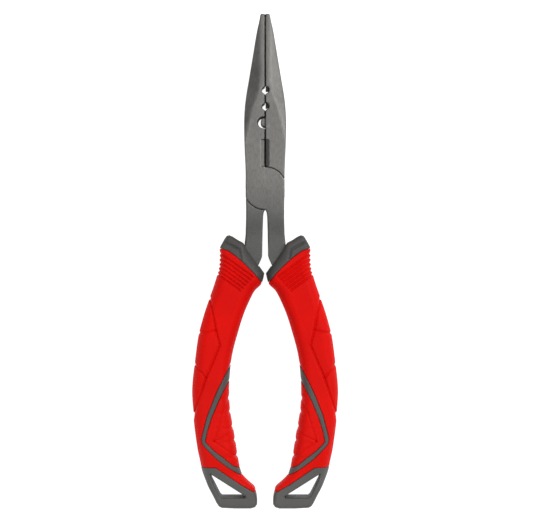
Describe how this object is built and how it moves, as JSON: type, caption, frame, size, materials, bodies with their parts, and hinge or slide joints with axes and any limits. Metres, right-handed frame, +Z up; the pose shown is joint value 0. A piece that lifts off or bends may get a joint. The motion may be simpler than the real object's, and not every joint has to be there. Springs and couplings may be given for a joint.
{
  "type": "fishing pliers",
  "caption": "Long-nose fishing pliers with crimp notches, side cutter, lap joint and bowed two-colour grips with lanyard eyes.",
  "frame": {"origin": "bottom centre of the whole tool lying flat with its jaws closed, under the grips", "axes": "+Z up along the rivet, away from the surface it lies on; +Y along the tool towards the jaw tips; +X to the right-hand grip"},
  "size_m": [0.0636, 0.2158, 0.018],
  "materials": {
    "steel": "satin ground steel with fine grain and bright edges",
    "rivet_steel": "turned steel, satin",
    "grey_plastic": "fine matt moulding texture",
    "red_rubber": "soft matt overmould"
  },
  "bodies": {
    "rear_half": {"rear_jaw_half": "steel", "left_handle_core": "grey_plastic", "left_grip_sleeve": "red_rubber", "left_finger_pad": "red_rubber"},
    "front_half": {"front_jaw_half": "steel", "pivot_rivet": "rivet_steel", "right_handle_core": "grey_plastic", "right_grip_sleeve": "red_rubber", "right_finger_pad": "red_rubber"}
  },
  "joints": [
    {"name": "jaw_pivot", "type": "hinge", "parent": "rear_half", "child": "front_half", "pos_m": [0, 0.03145, 0.009], "axis": [0, 0, 1], "range_deg": [0, 40]}
  ]
}
